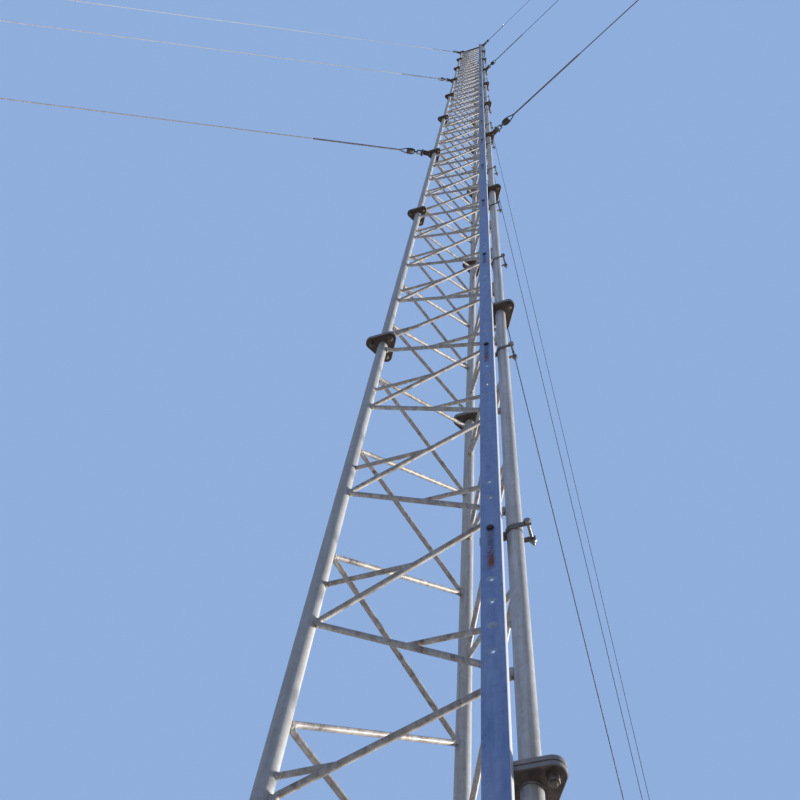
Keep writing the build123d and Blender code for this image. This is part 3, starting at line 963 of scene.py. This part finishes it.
fork_depths = {"upper": eye_wall + eye_seat + 0.010, "lower": 0.032}
fork_insides = {"upper": 0.0126, "lower": 0.0166}
fork_pin_places = {"upper": (upper_pins, down), "lower": (lower_pins, -down)}
parts = [
    tube(bars[0], tangent, bar), tube(bars[1], tangent, bar),
    turned(boss_profile, middle - down * body_half, down),
    turned(boss_profile, middle + down * (body_half - boss), down),
]
fork_bar = 0.004
fork_eye = ((0.011, -0.0038), (0.0135, -0.002), (0.0135, 0.002), (0.011, 0.0038))
fork_parts = []
for end, (places, direction) in fork_pin_places.items():
    half = fork_insides[end] / 2 + fork_bar
    depth = fork_depths[end]
    cheek_line = [(-0.002, half), (depth, half), (depth + 0.006, half * 0.6)]
    for hand in (-1, 1):
        cheek = np.array(cheek_line) * (1, hand)
        line = places[:, None] + cheek[:, :1] * direction[:, None] + cheek[:, 1:] * tangent[:, None]
        fork_parts.append(tube(line, side_y, (fork_bar, fork_bar, 0.006), sides=10))
        fork_parts.append(turned(fork_eye, places + tangent * hand * half, tangent))
    root = half + 0.002
    boss_rows = ((0.008, depth), (root, depth + 0.003), (root, depth + 0.008),
                 (0.008, depth + 0.013))
    pin_end = half + fork_bar
    fork_parts.append(turned(boss_rows, places, direction))
    fork_parts.append(turned(((pin_radius, -pin_end), (pin_radius, pin_end)), places, tangent))
    fork_parts.append(turned(thread, places, direction))
piece("turnbuckle_bodies", joined(*parts), forged, replaced=["turnbuckles"])
piece("turnbuckle_forks", joined(*fork_parts), bolt_zinc)

# Ground anchors: a plate with three holes on a round rod that slopes out of the ground in line
# with the middle guy. Galvanised, and brown with soil stains near the ground.
plate_half = 0.008
plate_tip = 0.130  # from the middle hole to the corner that the rod is welded to
plate_corner = 0.022
anchor_corners = [(0, -anchor_pitch), (0, anchor_pitch), (-plate_tip, 0)]
# Soil keeps the coat wet: a brownish grey with broad brown stains.
anchor_zinc = zinc("anchor_zinc", "#9C9890", "#6A645B", "#5E4632", 0.46, run=0.5)
stake_radius = 0.0148
stake_drop = 0.110  # from the middle hole to the rod's upper end
stake_top = anchor_middle - anchor_along * stake_drop
stake_turn = np.arange(20) * 2 * np.pi / 20
circle = stake_top[:, None] + stake_radius * (
    np.cos(stake_turn)[None, :, None] * np.cross(out3, up)[:, None]
    + np.sin(stake_turn)[None, :, None] * anchor_across[:, None]
)
# The rod's foot is its upper circle moved down along the rod until each point meets the ground.
foot_circle = circle - anchor_along[:, None] * (circle[..., 2:] / anchor_along[:, None, 2:])
stake_rings = np.stack([foot_circle, circle], axis=1)
piece(
    "anchor_plates",
    joined(
        plate(anchor_corners, plate_corner, -plate_half, plate_half, 0.0015, anchor_middle,
              anchor_along, anchor_across),
        skin(stake_rings[:, :, ::-1]),
    ),
    anchor_zinc,
    replaced=["ground_anchors"],
)

# Studio: a pale matt floor, a pale blue backdrop, a soft key from the right and behind the mast
# and an even fill. The camera stands by the mast's foot and looks up along it.
floor_radius = 400
floor_sides = 72
floor_turn = np.arange(floor_sides) * 2 * np.pi / floor_sides
floor_ring = np.column_stack([
    np.cos(floor_turn) * floor_radius, np.sin(floor_turn) * floor_radius, np.zeros(floor_sides)
])
floor_mesh = bpy.data.meshes.new("floor")
floor_mesh.from_pydata(floor_ring.tolist(), [], [list(range(floor_sides))])
floor = bpy.data.objects.new("floor", floor_mesh)


def background_rays(owner):
    """1 for the rays that show the background itself, from the camera, mirrored or let through,
    and 0 for those that only light the mast.
    """
    rays = node(owner, "ShaderNodeLightPath").outputs
    mirrored = maths(owner, "MAXIMUM", rays["Is Glossy Ray"], rays["Is Transmission Ray"])
    return maths(owner, "MAXIMUM", rays["Is Camera Ray"], mirrored)


# Smooth matt paper: a plain pale grey that keeps the mast's shadow. Its own glow makes up 0.6 of
# what the camera sees of it, and none of what lights the mast.
floor_colour = bpy.data.materials.new("floor")
floor_colour.use_nodes = True
floor_shader = floor_colour.node_tree.nodes["Principled BSDF"]
floor_shader.inputs["Base Color"].default_value = linear("#C8C9CB")
floor_shader.inputs["Roughness"].default_value = 0.9
floor_shader.inputs["Specular IOR Level"].default_value = 0.0
floor_glow = node(floor_colour, "ShaderNodeEmission", {"Color": linear("#DCE1E9"), "Strength": 1.0})
floor_share = maths(floor_colour, "MULTIPLY", background_rays(floor_colour), 0.6)
floor_mixed = node(
    floor_colour, "ShaderNodeMixShader",
    {0: floor_share, 1: floor_shader.outputs[0], 2: floor_glow.outputs[0]},
)
floor_output = floor_colour.node_tree.nodes["Material Output"]
floor_colour.node_tree.links.new(floor_mixed.outputs[0], floor_output.inputs[0])
floor_mesh.materials.append(floor_colour)
bpy.context.collection.objects.link(floor)

world = bpy.data.worlds.new("studio")
bpy.context.scene.world = world
world.use_nodes = True
fill = world.node_tree.nodes["Background"]
fill.inputs["Color"].default_value = linear("#AFC4EC")
fill.inputs["Strength"].default_value = 0.215
seen = node(world, "ShaderNodeBackground", {"Color": linear("#90AEDC"), "Strength": 1.0})
mixed = node(
    world, "ShaderNodeMixShader",
    {0: background_rays(world), 1: fill.outputs[0], 2: seen.outputs[0]},
)
world.node_tree.links.new(mixed.outputs[0], world.node_tree.nodes["World Output"].inputs[0])

key = bpy.data.lights.new("key", "SUN")
key.energy = 4.2
key.angle = math.radians(6)
key.color = linear("#FFF9F0")[:3]
key_lamp = bpy.data.objects.new("key", key)
key_azimuth = math.radians(37)
key_height = math.radians(10)
key_from = Vector((
    math.cos(key_height) * math.cos(key_azimuth),
    math.cos(key_height) * math.sin(key_azimuth),
    math.sin(key_height),
))
key_lamp.rotation_euler = key_from.to_track_quat("Z", "Y").to_euler()
bpy.context.collection.objects.link(key_lamp)

# The camera's place and turn are the one solution that fits the mast's joints in the photograph.
view_place = (0.5876, -1.5941, 1.5767)
focal_pixels, picture_pixels = 953.7, 800
view_tilt = math.radians(66.37)
view_roll = math.radians(10.87)
view_heading = math.radians(27.41)
ahead = Vector((-math.sin(view_heading), math.cos(view_heading), 0))
level_right = Vector((math.cos(view_heading), math.sin(view_heading), 0))
sight = ahead * math.cos(view_tilt) + Vector((0, 0, math.sin(view_tilt)))
level_up = level_right.cross(sight)
right = level_right * math.cos(view_roll) + level_up * math.sin(view_roll)
above = level_up * math.cos(view_roll) - level_right * math.sin(view_roll)
camera_data = bpy.data.cameras.new("camera")
camera_data.sensor_width = 36
camera_data.lens = camera_data.sensor_width * focal_pixels / picture_pixels
camera_data.clip_end = 200
camera = bpy.data.objects.new("camera", camera_data)
camera.matrix_world = Matrix((
    *zip(right, above, -sight, view_place),
    (0, 0, 0, 1),
))
bpy.context.collection.objects.link(camera)
bpy.context.scene.camera = camera
bpy.context.scene.view_settings.view_transform = "Standard"
